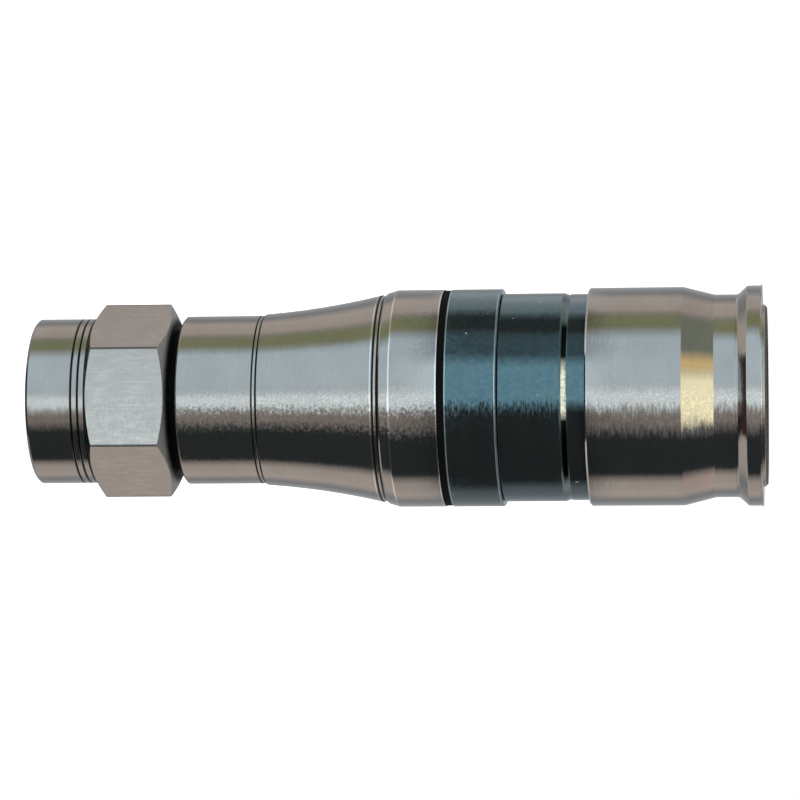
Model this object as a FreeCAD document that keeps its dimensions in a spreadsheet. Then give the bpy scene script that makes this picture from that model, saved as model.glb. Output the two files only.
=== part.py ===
"""A coaxial F connector of the compression type, with a captive centre contact.

The connector stands on the front face of its coupling nut. Its axis is +Z, from the nut's front face at
height 0 up to the cable end, so a height below is a distance along the axis. Flats of the hex face -Y
and +Y. Lengths are in millimetres and angles in degrees.
"""

import FreeCAD
import Part
import Sketcher
import math
import operator
import os

DIMENSIONS = {
    # Outside of the front body's barrel, the black ring and the sleeve
    "main_radius": 7.165,
    # Coupling nut
    "nut_across_flats": 11.11,
    "nut_length": 9.32,
    "nut_barrel_length": 3.98,
    "nut_barrel_step": 0.08,
    "nut_barrel_wall": 0.715,
    "nut_back_step": 0.355,
    "nut_edge": 0.16,
    "hex_chamfer_angle": 24.0,
    "nut_first_line": 0.95,
    "nut_second_line": 0.5,
    "nut_line_width": 0.15,
    "nut_line_depth": 0.08,
    "thread_entry": 0.25,
    "nut_lip_length": 1.9,
    # Post that carries the nut
    "post_flange_gap": 0.51,
    "post_flange_step": 0.68,
    "post_flange_length": 1.2,
    "post_wall": 0.67,
    "post_length": 8.95,
    "post_lip": 0.5,
    # Centre contact
    "pin_setback": 0.3,
    "pin_radius": 0.51,
    "pin_tip": 0.29,
    "pin_tip_length": 0.45,
    "pin_shoulder_step": 0.19,
    "pin_shoulder_lead": 0.15,
    "pin_neck_length": 1.83,
    "pin_bore_radius": 0.85,
    "pin_bore_depth": 6.0,
    "pin_wall": 0.75,
    "pin_socket_length": 12.0,
    "pin_slot_width": 0.25,
    "pin_slot_length": 5.0,
    "pin_slot_turn": 45.0,
    # Silver front body
    "nut_gap": 0.62,
    "body_boss_wall": 0.63,
    "body_boss_length": 0.45,
    "body_edge": 0.12,
    "waist_radius": 5.575,
    "waist_length": 5.18,
    "curve_step": 0.085,
    "curve_length": 8.06,
    "curve_radius": 50.0,
    "shoulder_step": 0.285,
    "shoulder_length": 0.92,
    "body_barrel_length": 3.1,
    "body_line_width": 0.36,
    "body_line_floor": 0.12,
    "body_line_depth": 0.1,
    "cavity_wall": 1.175,
    "cavity_length": 7.0,
    "body_wall": 1.065,
    # Seals
    "nut_seal_width": 0.5,
    "joint_gap": 0.44,
    "body_seal_width": 1.0,
    "body_seal_play": 0.04,
    # Rear insulator
    "guide_hole_gap": 0.2,
    "guide_web": 0.4,
    "guide_funnel_wall": 1.6,
    # Barbed mandrel
    "mandrel_radius": 4.15,
    "mandrel_wall": 0.5,
    "mandrel_length": 17.0,
    "mandrel_flange_length": 1.0,
    "barb_height": 0.28,
    "barb_pitch": 1.9,
    "barb_step": 0.3,
    # Black ring and black rear body
    "band_length": 3.41,
    "band_edge": 0.06,
    "tube_step": 0.315,
    "tube_length": 4.37,
    "tube_edge": 0.08,
    "tube_line_width": 0.28,
    "tube_line_depth": 0.05,
    "tail_step": 0.07,
    "spigot_wall": 0.63,
    "seal_groove_depth": 0.4,
    "seal_groove_width": 0.5,
    "seal_groove_inset": 0.2,
    # Compression sleeve
    "sleeve_stroke": 5.55,
    "sleeve_hold": 0.85,
    "stop_gap": 0.1,
    "slide_gap": 0.04,
    "sleeve_edge": 0.12,
    "sleeve_barrel_length": 6.17,
    "taper_length": 2.05,
    "neck_step": 0.525,
    "neck_length": 1.4,
    "neck_corner_length": 0.15,
    "neck_corner_rise": 0.035,
    "flare_length": 0.57,
    "rim_step": 0.035,
    "rim_length": 0.96,
    "rim_lip_rise": 0.06,
    "rim_lip_length": 0.12,
    "ramp_gap": 0.05,
    "ramp_length": 1.15,
    # Pieces in the mouth of the sleeve
    "neck_wall": 0.67,
    "liner_wall": 0.45,
    "liner_length": 4.05,
    "liner_proud": 0.18,
    "jacket_seal_wall": 0.28,
    "seal_lip_inset": 0.05,
    "seal_lip_thickness": 0.12,
    "grip_rise": 0.07,
    "grip_nose_gap": 0.13,
    "grip_bore_step": 0.05,
    "grip_length": 5.0,
    "grip_slot_width": 0.6,
    "grip_slot_length": 3.2,
    "grip_tooth_pitch": 1.2,
    "grip_tooth_depth": 0.16,
    # How far a cutting shape reaches past the surface that it cuts
    "cut_reach": 1.0,
    # Clearances
    "seat_gap": 0.02,
    "running_gap": 0.05,
    "end_gap": 0.4,
}

doc = FreeCAD.newDocument("f_connector")
sheet = doc.addObject("Spreadsheet::Sheet", "Sizes")
for row, (alias, number) in enumerate(DIMENSIONS.items(), start=1):
    sheet.set(f"A{row}", alias)
    sheet.set(f"B{row}", str(number))
    sheet.setAlias(f"B{row}", alias)
doc.recompute()


class Size:
    """A size with its number and with the expression that ties it to the sheet."""

    def __init__(self, number, text):
        self.number = number
        self.text = text

    def combined(self, other, sign, work):
        if not isinstance(other, Size):
            other = Size(float(other), str(other))
        return Size(work(self.number, other.number), f"({self.text} {sign} {other.text})")

    def __add__(self, other):
        return self.combined(other, "+", operator.add)

    def __sub__(self, other):
        return self.combined(other, "-", operator.sub)

    def __mul__(self, other):
        return self.combined(other, "*", operator.mul)

    def __truediv__(self, other):
        return self.combined(other, "/", operator.truediv)


def size(alias):
    """The size that the sheet holds under this name."""
    return Size(float(sheet.get(alias)), f"Sizes.{alias}")


def tangent(angle):
    """The tangent of an angle that the sheet holds in degrees."""
    return Size(math.tan(math.radians(angle.number)), f"tan({angle.text})")


ZERO = Size(0.0, "0")


def origin_plane(body, role):
    """One of a body's own three planes."""
    return next(plane for plane in body.Origin.OriginFeatures if plane.Role == role)


def new_sketch(body, name, role="XZ_Plane"):
    """An empty sketch on one of the body's own planes. On XZ, x is a radius and y is a height."""
    sketch = body.newObject("Sketcher::SketchObject", name)
    sketch.AttachmentSupport = [(origin_plane(body, role), "")]
    sketch.MapMode = "FlatFace"
    return sketch


def tie(sketch, kind, arguments, length):
    """Add a dimension to a sketch and tie it to the sheet."""
    index = sketch.addConstraint(Sketcher.Constraint(kind, *arguments, length.number))
    sketch.setExpression(f"Constraints[{index}]", length.text)


def place_point(sketch, line, end, radius, height):
    """Fix one end of a line by its radius and its height."""
    for kind, length, axis in (("DistanceX", radius, -2), ("DistanceY", height, -1)):
        if length is ZERO:
            sketch.addConstraint(Sketcher.Constraint("PointOnObject", line, end, axis))
        else:
            tie(sketch, kind, (-1, 1, line, end), length)


def arc_between(start, end, radius):
    """The short arc of this radius from start to end that hollows towards larger radii."""
    half = (end - start) / 2
    rise = math.sqrt(max(radius**2 - half.Length**2, 0.0))
    side = FreeCAD.Vector(-half.y, half.x, 0).normalize()
    if side.x < 0:
        side = side * -1
    centre = start + half + side * rise
    from_angle = math.atan2(end.y - centre.y, end.x - centre.x) % (2 * math.pi)
    to_angle = math.atan2(start.y - centre.y, start.x - centre.x) % (2 * math.pi)
    circle = Part.Circle(centre, FreeCAD.Vector(0, 0, 1), radius)
    return Part.ArcOfCircle(circle, from_angle, to_angle)


def draw_outline(sketch, corners, hollow_arcs=None):
    """Draw a closed outline. hollow_arcs gives the radius of the sides that are arcs, by their corner."""
    hollow_arcs = hollow_arcs or {}
    points = [FreeCAD.Vector(radius.number, height.number, 0) for radius, height in corners]
    first_ends = []
    last_ends = []
    for corner, point in enumerate(points):
        after = points[(corner + 1) % len(points)]
        if corner in hollow_arcs:
            line = sketch.addGeometry(arc_between(point, after, hollow_arcs[corner].number), False)
            first_ends.append((line, 2))
            last_ends.append((line, 1))
        else:
            line = sketch.addGeometry(Part.LineSegment(point, after), False)
            first_ends.append((line, 1))
            last_ends.append((line, 2))
    for corner, (radius, height) in enumerate(corners):
        sketch.addConstraint(Sketcher.Constraint("Coincident", *last_ends[corner - 1], *first_ends[corner]))
        place_point(sketch, *first_ends[corner], radius, height)
    for corner, radius in hollow_arcs.items():
        tie(sketch, "Radius", (first_ends[corner][0],), radius)


def new_body(label, height):
    """The body of one piece, placed with its own zero at this height."""
    body = doc.addObject("PartDesign::Body", label)
    body.Label = label
    body.setExpression(".Placement.Base.z", height.text)
    return body


def turn(body, corners, hollow_arcs=None):
    """Turn a half section about the axis."""
    sketch = new_sketch(body, f"{body.Label}_section")
    draw_outline(sketch, corners, hollow_arcs)
    feature = body.newObject("PartDesign::Revolution", f"{body.Label}_turning")
    feature.Profile = sketch
    feature.ReferenceAxis = (sketch, ["V_Axis"])
    feature.Angle = 360
    doc.recompute()
    return feature


def check_cut(body, before, name):
    """Stop if a cut took nothing away."""
    doc.recompute()
    if not body.Shape.Volume < before - 1e-6:
        raise RuntimeError(f"{name} cuts nothing")


def cut_groove(body, name, corners):
    """Turn a groove into a piece."""
    before = body.Shape.Volume
    sketch = new_sketch(body, f"{name}_section")
    draw_outline(sketch, corners)
    feature = body.newObject("PartDesign::Groove", name)
    feature.Profile = sketch
    feature.ReferenceAxis = (sketch, ["V_Axis"])
    feature.Angle = 360
    check_cut(body, before, name)


def fine_line(body, name, radius, height, width, depth):
    """Turn a fine V line of this width and depth, with its middle at this height."""
    outside = radius + depth * 2
    reach = width * 1.5
    cut_groove(body, name, [(outside, height - reach), (radius - depth, height), (outside, height + reach)])


def floored_line(body, name, radius, height):
    """Turn one of the body's two lines, which have a narrow floor between sloped walls."""
    depth = size("body_line_depth")
    floor_half = size("body_line_floor") / 2
    reach = size("body_line_width") - floor_half
    corners = [(radius + depth, height - reach), (radius - depth, height - floor_half)]
    corners += [(radius - depth, height + floor_half), (radius + depth, height + reach)]
    cut_groove(body, name, corners)


def cut_slots(body, name, count, width, bottom, top, reach):
    """Cut slots through the wall of a tube, from a bottom height to a top height, all the way round."""
    before = body.Shape.Volume
    sketch = new_sketch(body, f"{name}_outline")
    half = width / 2
    left = half * -1
    draw_outline(sketch, [(left, bottom), (half, bottom), (half, top), (left, top)])
    pocket = body.newObject("PartDesign::Pocket", name)
    pocket.Profile = sketch
    pocket.Type = "Length"
    pocket.Length = reach.number
    pocket.setExpression("Length", reach.text)
    doc.recompute()
    pattern = body.newObject("PartDesign::PolarPattern", f"{name}_pattern")
    pattern.Originals = [pocket]
    pattern.Axis = (sketch, ["V_Axis"])
    pattern.Angle = 360
    pattern.Occurrences = count
    body.Tip = pattern
    check_cut(body, before, name)


def cut_hexagon(body, across_flats, reach):
    """Mill six flats, two of them facing -Y and +Y, by cutting away what lies outside a hexagon."""
    before = body.Shape.Volume
    sketch = new_sketch(body, "hexagon", "XY_Plane")
    corner_radius = across_flats / Size(math.sqrt(3), "sqrt(3)")
    axis = FreeCAD.Vector(0, 0, 1)
    guide = sketch.addGeometry(Part.Circle(FreeCAD.Vector(), axis, corner_radius.number), True)
    outside = sketch.addGeometry(Part.Circle(FreeCAD.Vector(), axis, reach.number), False)
    for circle, radius in ((guide, corner_radius), (outside, reach)):
        sketch.addConstraint(Sketcher.Constraint("Coincident", circle, 3, -1, 1))
        tie(sketch, "Radius", (circle,), radius)
    points = []
    for corner in range(6):
        turned = math.radians(60 * corner)
        point = FreeCAD.Vector(math.cos(turned), math.sin(turned), 0)
        points.append(point * corner_radius.number)
    sides = []
    for corner, point in enumerate(points):
        sides.append(sketch.addGeometry(Part.LineSegment(point, points[(corner + 1) % 6]), False))
    for corner, side in enumerate(sides):
        sketch.addConstraint(Sketcher.Constraint("Coincident", sides[corner - 1], 2, side, 1))
        sketch.addConstraint(Sketcher.Constraint("PointOnObject", side, 1, guide))
        if corner:
            sketch.addConstraint(Sketcher.Constraint("Equal", sides[0], side))
    sketch.addConstraint(Sketcher.Constraint("Horizontal", sides[1]))
    pocket = body.newObject("PartDesign::Pocket", "hex_flats")
    pocket.Profile = sketch
    pocket.Type = "ThroughAll"
    pocket.Midplane = True
    check_cut(body, before, "hex_flats")


# Radii, from the outside inwards
barrel_radius = size("nut_across_flats") / 2 - size("nut_barrel_step")
thread_radius = barrel_radius - size("nut_barrel_wall")
post_flange_radius = thread_radius - size("post_flange_gap")
post_stem_radius = post_flange_radius - size("post_flange_step")
post_bore_radius = post_stem_radius - size("post_wall")
nut_lip_bore = post_stem_radius + size("running_gap")
pin_shoulder_radius = size("pin_radius") + size("pin_shoulder_step")
pin_socket_radius = size("pin_bore_radius") + size("pin_wall")
boss_radius = post_stem_radius + size("body_boss_wall")
cavity_radius = size("waist_radius") - size("cavity_wall")
curve_end_radius = size("main_radius") - size("shoulder_step")
rear_bore_radius = size("main_radius") - size("body_wall")
spigot_radius = rear_bore_radius - size("seat_gap")
jacket_bore_radius = spigot_radius - size("spigot_wall")
tube_radius = size("main_radius") - size("tube_step")
tail_radius = tube_radius - size("tail_step")
seal_floor_radius = tail_radius - size("seal_groove_depth")
skirt_bore_radius = tube_radius + size("slide_gap")
neck_radius = size("main_radius") - size("neck_step")
rim_radius = size("main_radius") + size("rim_step")
liner_seat_radius = neck_radius - size("neck_wall")
liner_radius = liner_seat_radius - size("seat_gap")
liner_bore_radius = liner_radius - size("liner_wall")
grip_radius = liner_radius + size("grip_rise")
grip_bore_radius = liner_bore_radius - size("grip_bore_step")
tail_bore_radius = grip_radius + size("grip_nose_gap")

# Stations along the axis, each a height above the nut's front face
lip_front = size("nut_length") - size("nut_lip_length")
post_front = lip_front - size("running_gap") - size("post_flange_length")
post_end = post_front + size("post_length")
insulator_front = post_front + size("post_lip")
pin_shoulder = insulator_front - size("pin_shoulder_lead")
pin_socket_front = insulator_front + size("pin_neck_length")
pin_end = pin_socket_front + size("pin_socket_length")
body_front = size("nut_length") + size("nut_gap")
mandrel_front = post_end + size("cavity_length")
rear_body_front = mandrel_front + size("mandrel_flange_length")
waist_end = body_front + size("waist_length")
curve_end = waist_end + size("curve_length")
shoulder_end = curve_end + size("shoulder_length")
body_end = shoulder_end + size("body_barrel_length")
band_front = body_end + size("joint_gap")
band_end = band_front + size("band_length")
tube_end = band_end + size("tube_length")
sleeve_front = band_end + size("sleeve_stroke") + size("stop_gap")
tail_end = sleeve_front + size("sleeve_hold")
skirt_end = tail_end + size("sleeve_stroke") + size("ramp_gap")
ramp_end = skirt_end + size("ramp_length")
taper_start = sleeve_front + size("sleeve_barrel_length")
neck_start = taper_start + size("taper_length")
neck_end = neck_start + size("neck_length")
flare_start = neck_end + size("neck_corner_length")
rim_start = flare_start + size("flare_length")
sleeve_end = rim_start + size("rim_length")
liner_end = sleeve_end + size("liner_proud")
liner_front = liner_end - size("liner_length")
grip_front = liner_front - size("grip_length")
tail_bore_floor = grip_front - size("sleeve_stroke") - size("end_gap")


def make_coupling_nut():
    """Hex nut with a round barrel in front. Its back lip is held behind the post's flange."""
    body = new_body("coupling_nut", ZERO)
    corner_radius = size("nut_across_flats") / Size(math.sqrt(3), "sqrt(3)")
    back_radius = size("nut_across_flats") / 2 - size("nut_back_step")
    slope = tangent(size("hex_chamfer_angle"))
    front_chamfer = (corner_radius - barrel_radius) * slope
    back_chamfer = (corner_radius - back_radius) * slope
    edge = size("nut_edge")
    turn(
        body,
        [
            (thread_radius + size("thread_entry"), ZERO),
            (barrel_radius - edge, ZERO),
            (barrel_radius, edge),
            (barrel_radius, size("nut_barrel_length")),
            (corner_radius, size("nut_barrel_length") + front_chamfer),
            (corner_radius, size("nut_length") - back_chamfer),
            (back_radius, size("nut_length")),
            (nut_lip_bore, size("nut_length")),
            (nut_lip_bore, lip_front),
            (thread_radius, lip_front),
            (thread_radius, size("thread_entry")),
        ],
    )
    cut_hexagon(body, size("nut_across_flats"), corner_radius + size("cut_reach"))
    for name in ("nut_first_line", "nut_second_line"):
        height = size("nut_barrel_length") - size(name)
        fine_line(body, name, barrel_radius, height, size("nut_line_width"), size("nut_line_depth"))
    return body


def make_post():
    """Flanged tube. The nut turns on its stem, and its flange is the face that meets the socket."""
    body = new_body("post", post_front)
    lip = size("post_lip")
    turn(
        body,
        [
            (post_bore_radius - lip, ZERO),
            (post_flange_radius, ZERO),
            (post_flange_radius, size("post_flange_length")),
            (post_stem_radius, size("post_flange_length")),
            (post_stem_radius, size("post_length")),
            (post_bore_radius, size("post_length")),
            (post_bore_radius, lip),
            (post_bore_radius - lip, lip),
        ],
    )
    return body


def make_contact_pin():
    """Centre contact: a thin pin in front, a shoulder, and a socket with four spring fingers behind."""
    front = size("pin_setback")
    body = new_body("contact_pin", front)
    body.Placement.Rotation = FreeCAD.Rotation(FreeCAD.Vector(0, 0, 1), size("pin_slot_turn").number)
    body.setExpression(".Placement.Rotation.Angle", size("pin_slot_turn").text)
    end = pin_end - front
    bore_floor = end - size("pin_bore_depth")
    turn(
        body,
        [
            (ZERO, ZERO),
            (size("pin_radius") - size("pin_tip"), ZERO),
            (size("pin_radius"), size("pin_tip_length")),
            (size("pin_radius"), pin_shoulder - front),
            (pin_shoulder_radius, pin_shoulder - front),
            (pin_shoulder_radius, pin_socket_front - front),
            (pin_socket_radius, pin_socket_front - front),
            (pin_socket_radius, end),
            (size("pin_bore_radius"), end),
            (size("pin_bore_radius"), bore_floor),
            (ZERO, bore_floor),
        ],
    )
    slot_floor = end - size("pin_slot_length")
    slot_top = end + size("cut_reach")
    reach = pin_socket_radius + size("cut_reach")
    cut_slots(body, "pin_slots", 4, size("pin_slot_width"), slot_floor, slot_top, reach)
    return body


def make_front_insulator():
    """Bead that fills the post and holds the contact's shoulder and the front of its socket."""
    body = new_body("front_insulator", insulator_front)
    neck_hole = pin_shoulder_radius + size("seat_gap")
    socket_hole = pin_socket_radius + size("seat_gap")
    outside = post_bore_radius - size("seat_gap")
    length = post_end - insulator_front
    neck = size("pin_neck_length")
    turn(
        body,
        [
            (neck_hole, ZERO),
            (outside, ZERO),
            (outside, length),
            (socket_hole, length),
            (socket_hole, neck),
            (neck_hole, neck),
        ],
    )
    return body


def make_pin_guide():
    """Rear insulator: it centres the socket and leads the cable's centre wire into it by a funnel."""
    body = new_body("pin_guide", post_end)
    length = size("cavity_length")
    outside = cavity_radius - size("seat_gap")
    socket_hole = pin_socket_radius + size("seat_gap")
    wire_hole = size("pin_bore_radius") + size("guide_hole_gap")
    web_front = pin_end - post_end + size("stop_gap")
    web_end = web_front + size("guide_web")
    turn(
        body,
        [
            (socket_hole, ZERO),
            (outside, ZERO),
            (outside, length),
            (outside - size("guide_funnel_wall"), length),
            (wire_hole, web_end),
            (wire_hole, web_front),
            (socket_hole, web_front),
        ],
    )
    return body


def make_front_body():
    """Silver body: a slim barrel, a shallow curve that widens to the cable, a cone and a wide barrel."""
    body = new_body("front_body", body_front)
    post_seat = post_stem_radius + size("seat_gap")
    boss_front = ZERO - size("body_boss_length")
    waist = size("waist_radius")
    edge = size("body_edge")
    waist_height = waist_end - body_front
    curve_height = curve_end - body_front
    cavity_front = post_end - body_front
    cavity_end = mandrel_front - body_front
    length = body_end - body_front
    turn(
        body,
        [
            (post_seat, boss_front),
            (boss_radius, boss_front),
            (boss_radius, ZERO),
            (waist - edge, ZERO),
            (waist, edge),
            (waist, waist_height),
            (waist + size("curve_step"), waist_height),
            (curve_end_radius, curve_height),
            (size("main_radius"), shoulder_end - body_front),
            (size("main_radius"), length),
            (rear_bore_radius, length),
            (rear_bore_radius, cavity_end),
            (cavity_radius, cavity_end),
            (cavity_radius, cavity_front),
            (post_seat, cavity_front),
        ],
        {6: size("curve_radius")},
    )
    floored_line(body, "waist_line", waist + size("curve_step"), waist_height)
    floored_line(body, "shoulder_line", curve_end_radius, curve_height)
    return body


def make_nut_seal():
    """Rubber ring on the front body's boss, in the gap behind the nut."""
    body = new_body("nut_seal", body_front - size("body_boss_length"))
    bore = boss_radius + size("seat_gap")
    radius = bore + size("nut_seal_width")
    length = size("body_boss_length") - size("seat_gap")
    turn(body, [(bore, ZERO), (radius, ZERO), (radius, length), (bore, length)])
    return body


def make_mandrel():
    """Barbed tube that goes between the cable's core and its braid."""
    body = new_body("mandrel", mandrel_front)
    radius = size("mandrel_radius")
    bore = radius - size("mandrel_wall")
    barb_radius = radius + size("barb_height")
    flange = size("mandrel_flange_length")
    length = size("mandrel_length")
    corners = [(bore, ZERO), (spigot_radius, ZERO), (spigot_radius, flange), (radius, flange)]
    for barbs_behind in (2, 1):
        start = length - size("barb_pitch") * barbs_behind
        corners.append((radius, start))
        corners.append((barb_radius, start + size("barb_step")))
    corners.append((radius, length))
    corners.append((bore, length))
    turn(body, corners)
    return body


def make_rear_body():
    """Black body: a spigot in the front body, a seat for the ring, and the tube that the sleeve rides on."""
    body = new_body("rear_body", rear_body_front)
    shoulder = band_end - rear_body_front
    tube_top = tube_end - rear_body_front
    length = tail_end - rear_body_front
    bore_floor = tail_bore_floor - rear_body_front
    edge = size("tube_edge")
    turn(
        body,
        [
            (jacket_bore_radius, ZERO),
            (spigot_radius, ZERO),
            (spigot_radius, shoulder),
            (tube_radius - edge, shoulder),
            (tube_radius, shoulder + edge),
            (tube_radius, tube_top),
            (tail_radius, tube_top),
            (tail_radius, length),
            (tail_bore_radius, length),
            (tail_bore_radius, bore_floor),
            (jacket_bore_radius, bore_floor),
        ],
    )
    fine_line(body, "tube_line", tail_radius, tube_top, size("tube_line_width"), size("tube_line_depth"))
    groove_end = length - size("seal_groove_inset")
    groove_start = groove_end - size("seal_groove_width")
    outside = tail_radius + size("seal_groove_depth")
    corners = [(seal_floor_radius, groove_start), (outside, groove_start)]
    corners += [(outside, groove_end), (seal_floor_radius, groove_end)]
    cut_groove(body, "sleeve_seal_groove", corners)
    return body


def make_band_ring():
    """Black ring pressed on the rear body, between its shoulder and the joint."""
    body = new_body("band_ring", band_front)
    radius = size("main_radius")
    length = size("band_length")
    edge = size("band_edge")
    turn(
        body,
        [
            (rear_bore_radius, ZERO),
            (radius - edge, ZERO),
            (radius, edge),
            (radius, length - edge),
            (radius - edge, length),
            (rear_bore_radius, length),
        ],
    )
    return body


def make_body_seal():
    """Rubber washer in the joint between the front body and the black ring."""
    thickness = size("joint_gap") - size("body_seal_play")
    body = new_body("body_seal", body_end + size("body_seal_play") / 2)
    bore = rear_bore_radius
    radius = bore + size("body_seal_width")
    turn(body, [(bore, ZERO), (radius, ZERO), (radius, thickness), (bore, thickness)])
    return body


def make_sleeve_seal():
    """Rubber ring in the rear body's groove, under the skirt of the sleeve."""
    gap = size("seat_gap")
    groove_start = tail_end - size("seal_groove_inset") - size("seal_groove_width")
    body = new_body("sleeve_seal", groove_start + gap)
    bore = seal_floor_radius + gap
    radius = skirt_bore_radius - size("slide_gap")
    width = size("seal_groove_width") - gap * 2
    turn(body, [(bore, ZERO), (radius, ZERO), (radius, width), (bore, width)])
    return body


def make_compression_sleeve():
    """Silver sleeve: a thin skirt, a taper, a neck and a flared rim, with a ramp inside."""
    body = new_body("compression_sleeve", sleeve_front)
    radius = size("main_radius")
    edge = size("sleeve_edge")
    length = sleeve_end - sleeve_front
    turn(
        body,
        [
            (skirt_bore_radius, ZERO),
            (radius - edge, ZERO),
            (radius, edge),
            (radius, taper_start - sleeve_front),
            (neck_radius, neck_start - sleeve_front),
            (neck_radius, neck_end - sleeve_front),
            (neck_radius + size("neck_corner_rise"), flare_start - sleeve_front),
            (rim_radius, rim_start - sleeve_front),
            (rim_radius, length - size("rim_lip_length")),
            (rim_radius + size("rim_lip_rise"), length),
            (liner_seat_radius, length),
            (liner_seat_radius, ramp_end - sleeve_front),
            (skirt_bore_radius, skirt_end - sleeve_front),
        ],
    )
    return body


def make_grip_ring():
    """Slotted ring that closes on the cable's jacket. Its fingers point to the nut."""
    body = new_body("grip_ring", grip_front)
    length = size("grip_length")
    edge = size("grip_tooth_depth")
    turn(
        body,
        [
            (grip_bore_radius, ZERO),
            (grip_radius - edge, ZERO),
            (grip_radius, edge),
            (grip_radius, length - size("ramp_length")),
            (liner_bore_radius + edge, length),
            (grip_bore_radius, length),
        ],
    )
    inside = grip_bore_radius - edge
    outside = grip_bore_radius + edge
    for tooth in (1, 2):
        height = size("grip_tooth_pitch") * tooth
        notch = [(inside, height - edge * 2), (outside, height), (inside, height + edge * 2)]
        cut_groove(body, f"tooth_{tooth}", notch)
    slot_start = ZERO - size("cut_reach")
    reach = grip_radius + size("cut_reach")
    cut_slots(body, "grip_slots", 6, size("grip_slot_width"), slot_start, size("grip_slot_length"), reach)
    return body


def make_mouth_liner():
    """Thin silver ring in the mouth of the sleeve, standing a little proud of its rim."""
    body = new_body("mouth_liner", liner_front)
    bore = liner_bore_radius
    length = size("liner_length")
    turn(body, [(bore, ZERO), (liner_radius, ZERO), (liner_radius, length), (bore, length)])
    return body


def make_jacket_seal():
    """Rubber tube in the liner that seals on the jacket, with a sloped lip over the liner's end."""
    body = new_body("jacket_seal", liner_front)
    outside = liner_bore_radius - size("seat_gap")
    bore = outside - size("jacket_seal_wall")
    lip = liner_radius - size("seal_lip_inset")
    length = size("liner_length")
    end = length + size("seal_lip_thickness")
    turn(
        body,
        [
            (bore, ZERO),
            (outside, ZERO),
            (outside, length),
            (lip, length),
            (lip - size("seal_lip_thickness"), end),
            (bore, end),
        ],
    )
    return body


MAKERS = (
    make_coupling_nut,
    make_post,
    make_contact_pin,
    make_front_insulator,
    make_pin_guide,
    make_front_body,
    make_nut_seal,
    make_mandrel,
    make_rear_body,
    make_band_ring,
    make_body_seal,
    make_sleeve_seal,
    make_compression_sleeve,
    make_grip_ring,
    make_mouth_liner,
    make_jacket_seal,
)

pieces = [make() for make in MAKERS]
doc.recompute()

for item in doc.Objects:
    if "Invalid" in item.State or "Error" in item.State:
        raise RuntimeError(f"{item.Label} failed: {item.State}")
for piece in pieces:
    if piece.Shape.isNull() or not piece.Shape.isValid() or len(piece.Shape.Solids) != 1:
        raise RuntimeError(f"{piece.Label} isn't one valid solid")

os.makedirs("parts", exist_ok=True)
for piece in pieces:
    piece.Shape.exportStep(f"parts/{piece.Label}.step")
    box = piece.Shape.optimalBoundingBox(False, False)
    print(f"{piece.Label}: {box.ZMin:.2f} to {box.ZMax:.2f} mm high, {piece.Shape.Volume:.1f} mm3")
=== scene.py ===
# %% [markdown]
# # A coaxial F connector, dressed for a product picture
#
# The connector is a stack of turned pieces on one axis. The solids already have the true
# outlines, so most of the work here is finish: how turned nickel, milled nickel, black plastic
# and rubber answer the light. First the solids are loaded, and their size is kept, because the
# finished part may not grow.

# %% Load the connector's solids
import bpy
import bmesh
import math
from mathutils import Matrix, Vector


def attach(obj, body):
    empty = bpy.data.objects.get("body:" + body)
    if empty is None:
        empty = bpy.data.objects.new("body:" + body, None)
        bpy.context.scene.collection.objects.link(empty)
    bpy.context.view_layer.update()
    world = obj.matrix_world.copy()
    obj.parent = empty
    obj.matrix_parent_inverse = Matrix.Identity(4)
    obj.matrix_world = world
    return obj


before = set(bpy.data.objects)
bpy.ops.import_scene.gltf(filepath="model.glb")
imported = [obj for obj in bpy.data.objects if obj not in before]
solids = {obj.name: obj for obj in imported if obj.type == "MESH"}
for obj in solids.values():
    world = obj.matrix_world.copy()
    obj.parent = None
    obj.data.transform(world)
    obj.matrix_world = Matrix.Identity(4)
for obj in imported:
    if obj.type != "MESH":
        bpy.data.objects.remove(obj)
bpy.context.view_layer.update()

# %% [markdown]
# Lengths are easier to think about in millimetres, but the scene is in metres. One factor turns
# the first into the second, and it is used wherever a size of the real connector is meant.

# %% Millimetres
MM = 0.001
print("one millimetre is", MM, "m")

# %% [markdown]
# A finish is a node material. Every finish below starts the same way: an empty node tree with a
# Principled shader and the object's own coordinates, scaled so that one unit is one millimetre.
# Object coordinates stay glued to a piece when the nut turns or the sleeve slides.


# %% Start a finish
def new_finish(name):
    material = bpy.data.materials.new(name)
    material.use_nodes = True
    tree = material.node_tree
    shader = tree.nodes["Principled BSDF"]
    coordinates = tree.nodes.new("ShaderNodeTexCoord")
    scale = tree.nodes.new("ShaderNodeVectorMath")
    scale.operation = "MULTIPLY"
    scale.inputs[1].default_value = (1 / MM, 1 / MM, 1 / MM)
    tree.links.new(coordinates.outputs["Object"], scale.inputs[0])
    return material, tree, shader, scale.outputs[0]


print("finishes are measured in units of", MM, "m")


# %% [markdown]
# Turned metal carries fine rings where the tool went round. A noise texture becomes such rings
# when it is squeezed along the axis and left long around it, so the squeeze is the one setting
# that makes rings, scratches or plain mottling out of the same noise.


# %% Noise with its own stretch
def stretched_noise(tree, place, stretch, detail=2.0):
    squeeze = tree.nodes.new("ShaderNodeVectorMath")
    squeeze.operation = "MULTIPLY"
    squeeze.inputs[1].default_value = stretch
    noise = tree.nodes.new("ShaderNodeTexNoise")
    noise.inputs["Scale"].default_value = 1.0
    noise.inputs["Detail"].default_value = detail
    tree.links.new(place, squeeze.inputs[0])
    tree.links.new(squeeze.outputs[0], noise.inputs["Vector"])
    return noise.outputs["Fac"]


print("noise ready")


# %% [markdown]
# Three small helpers do the sums. One spreads a noise value between two numbers, for a roughness
# that isn't the same everywhere, one mixes two colours by it, and one joins two values.


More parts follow.
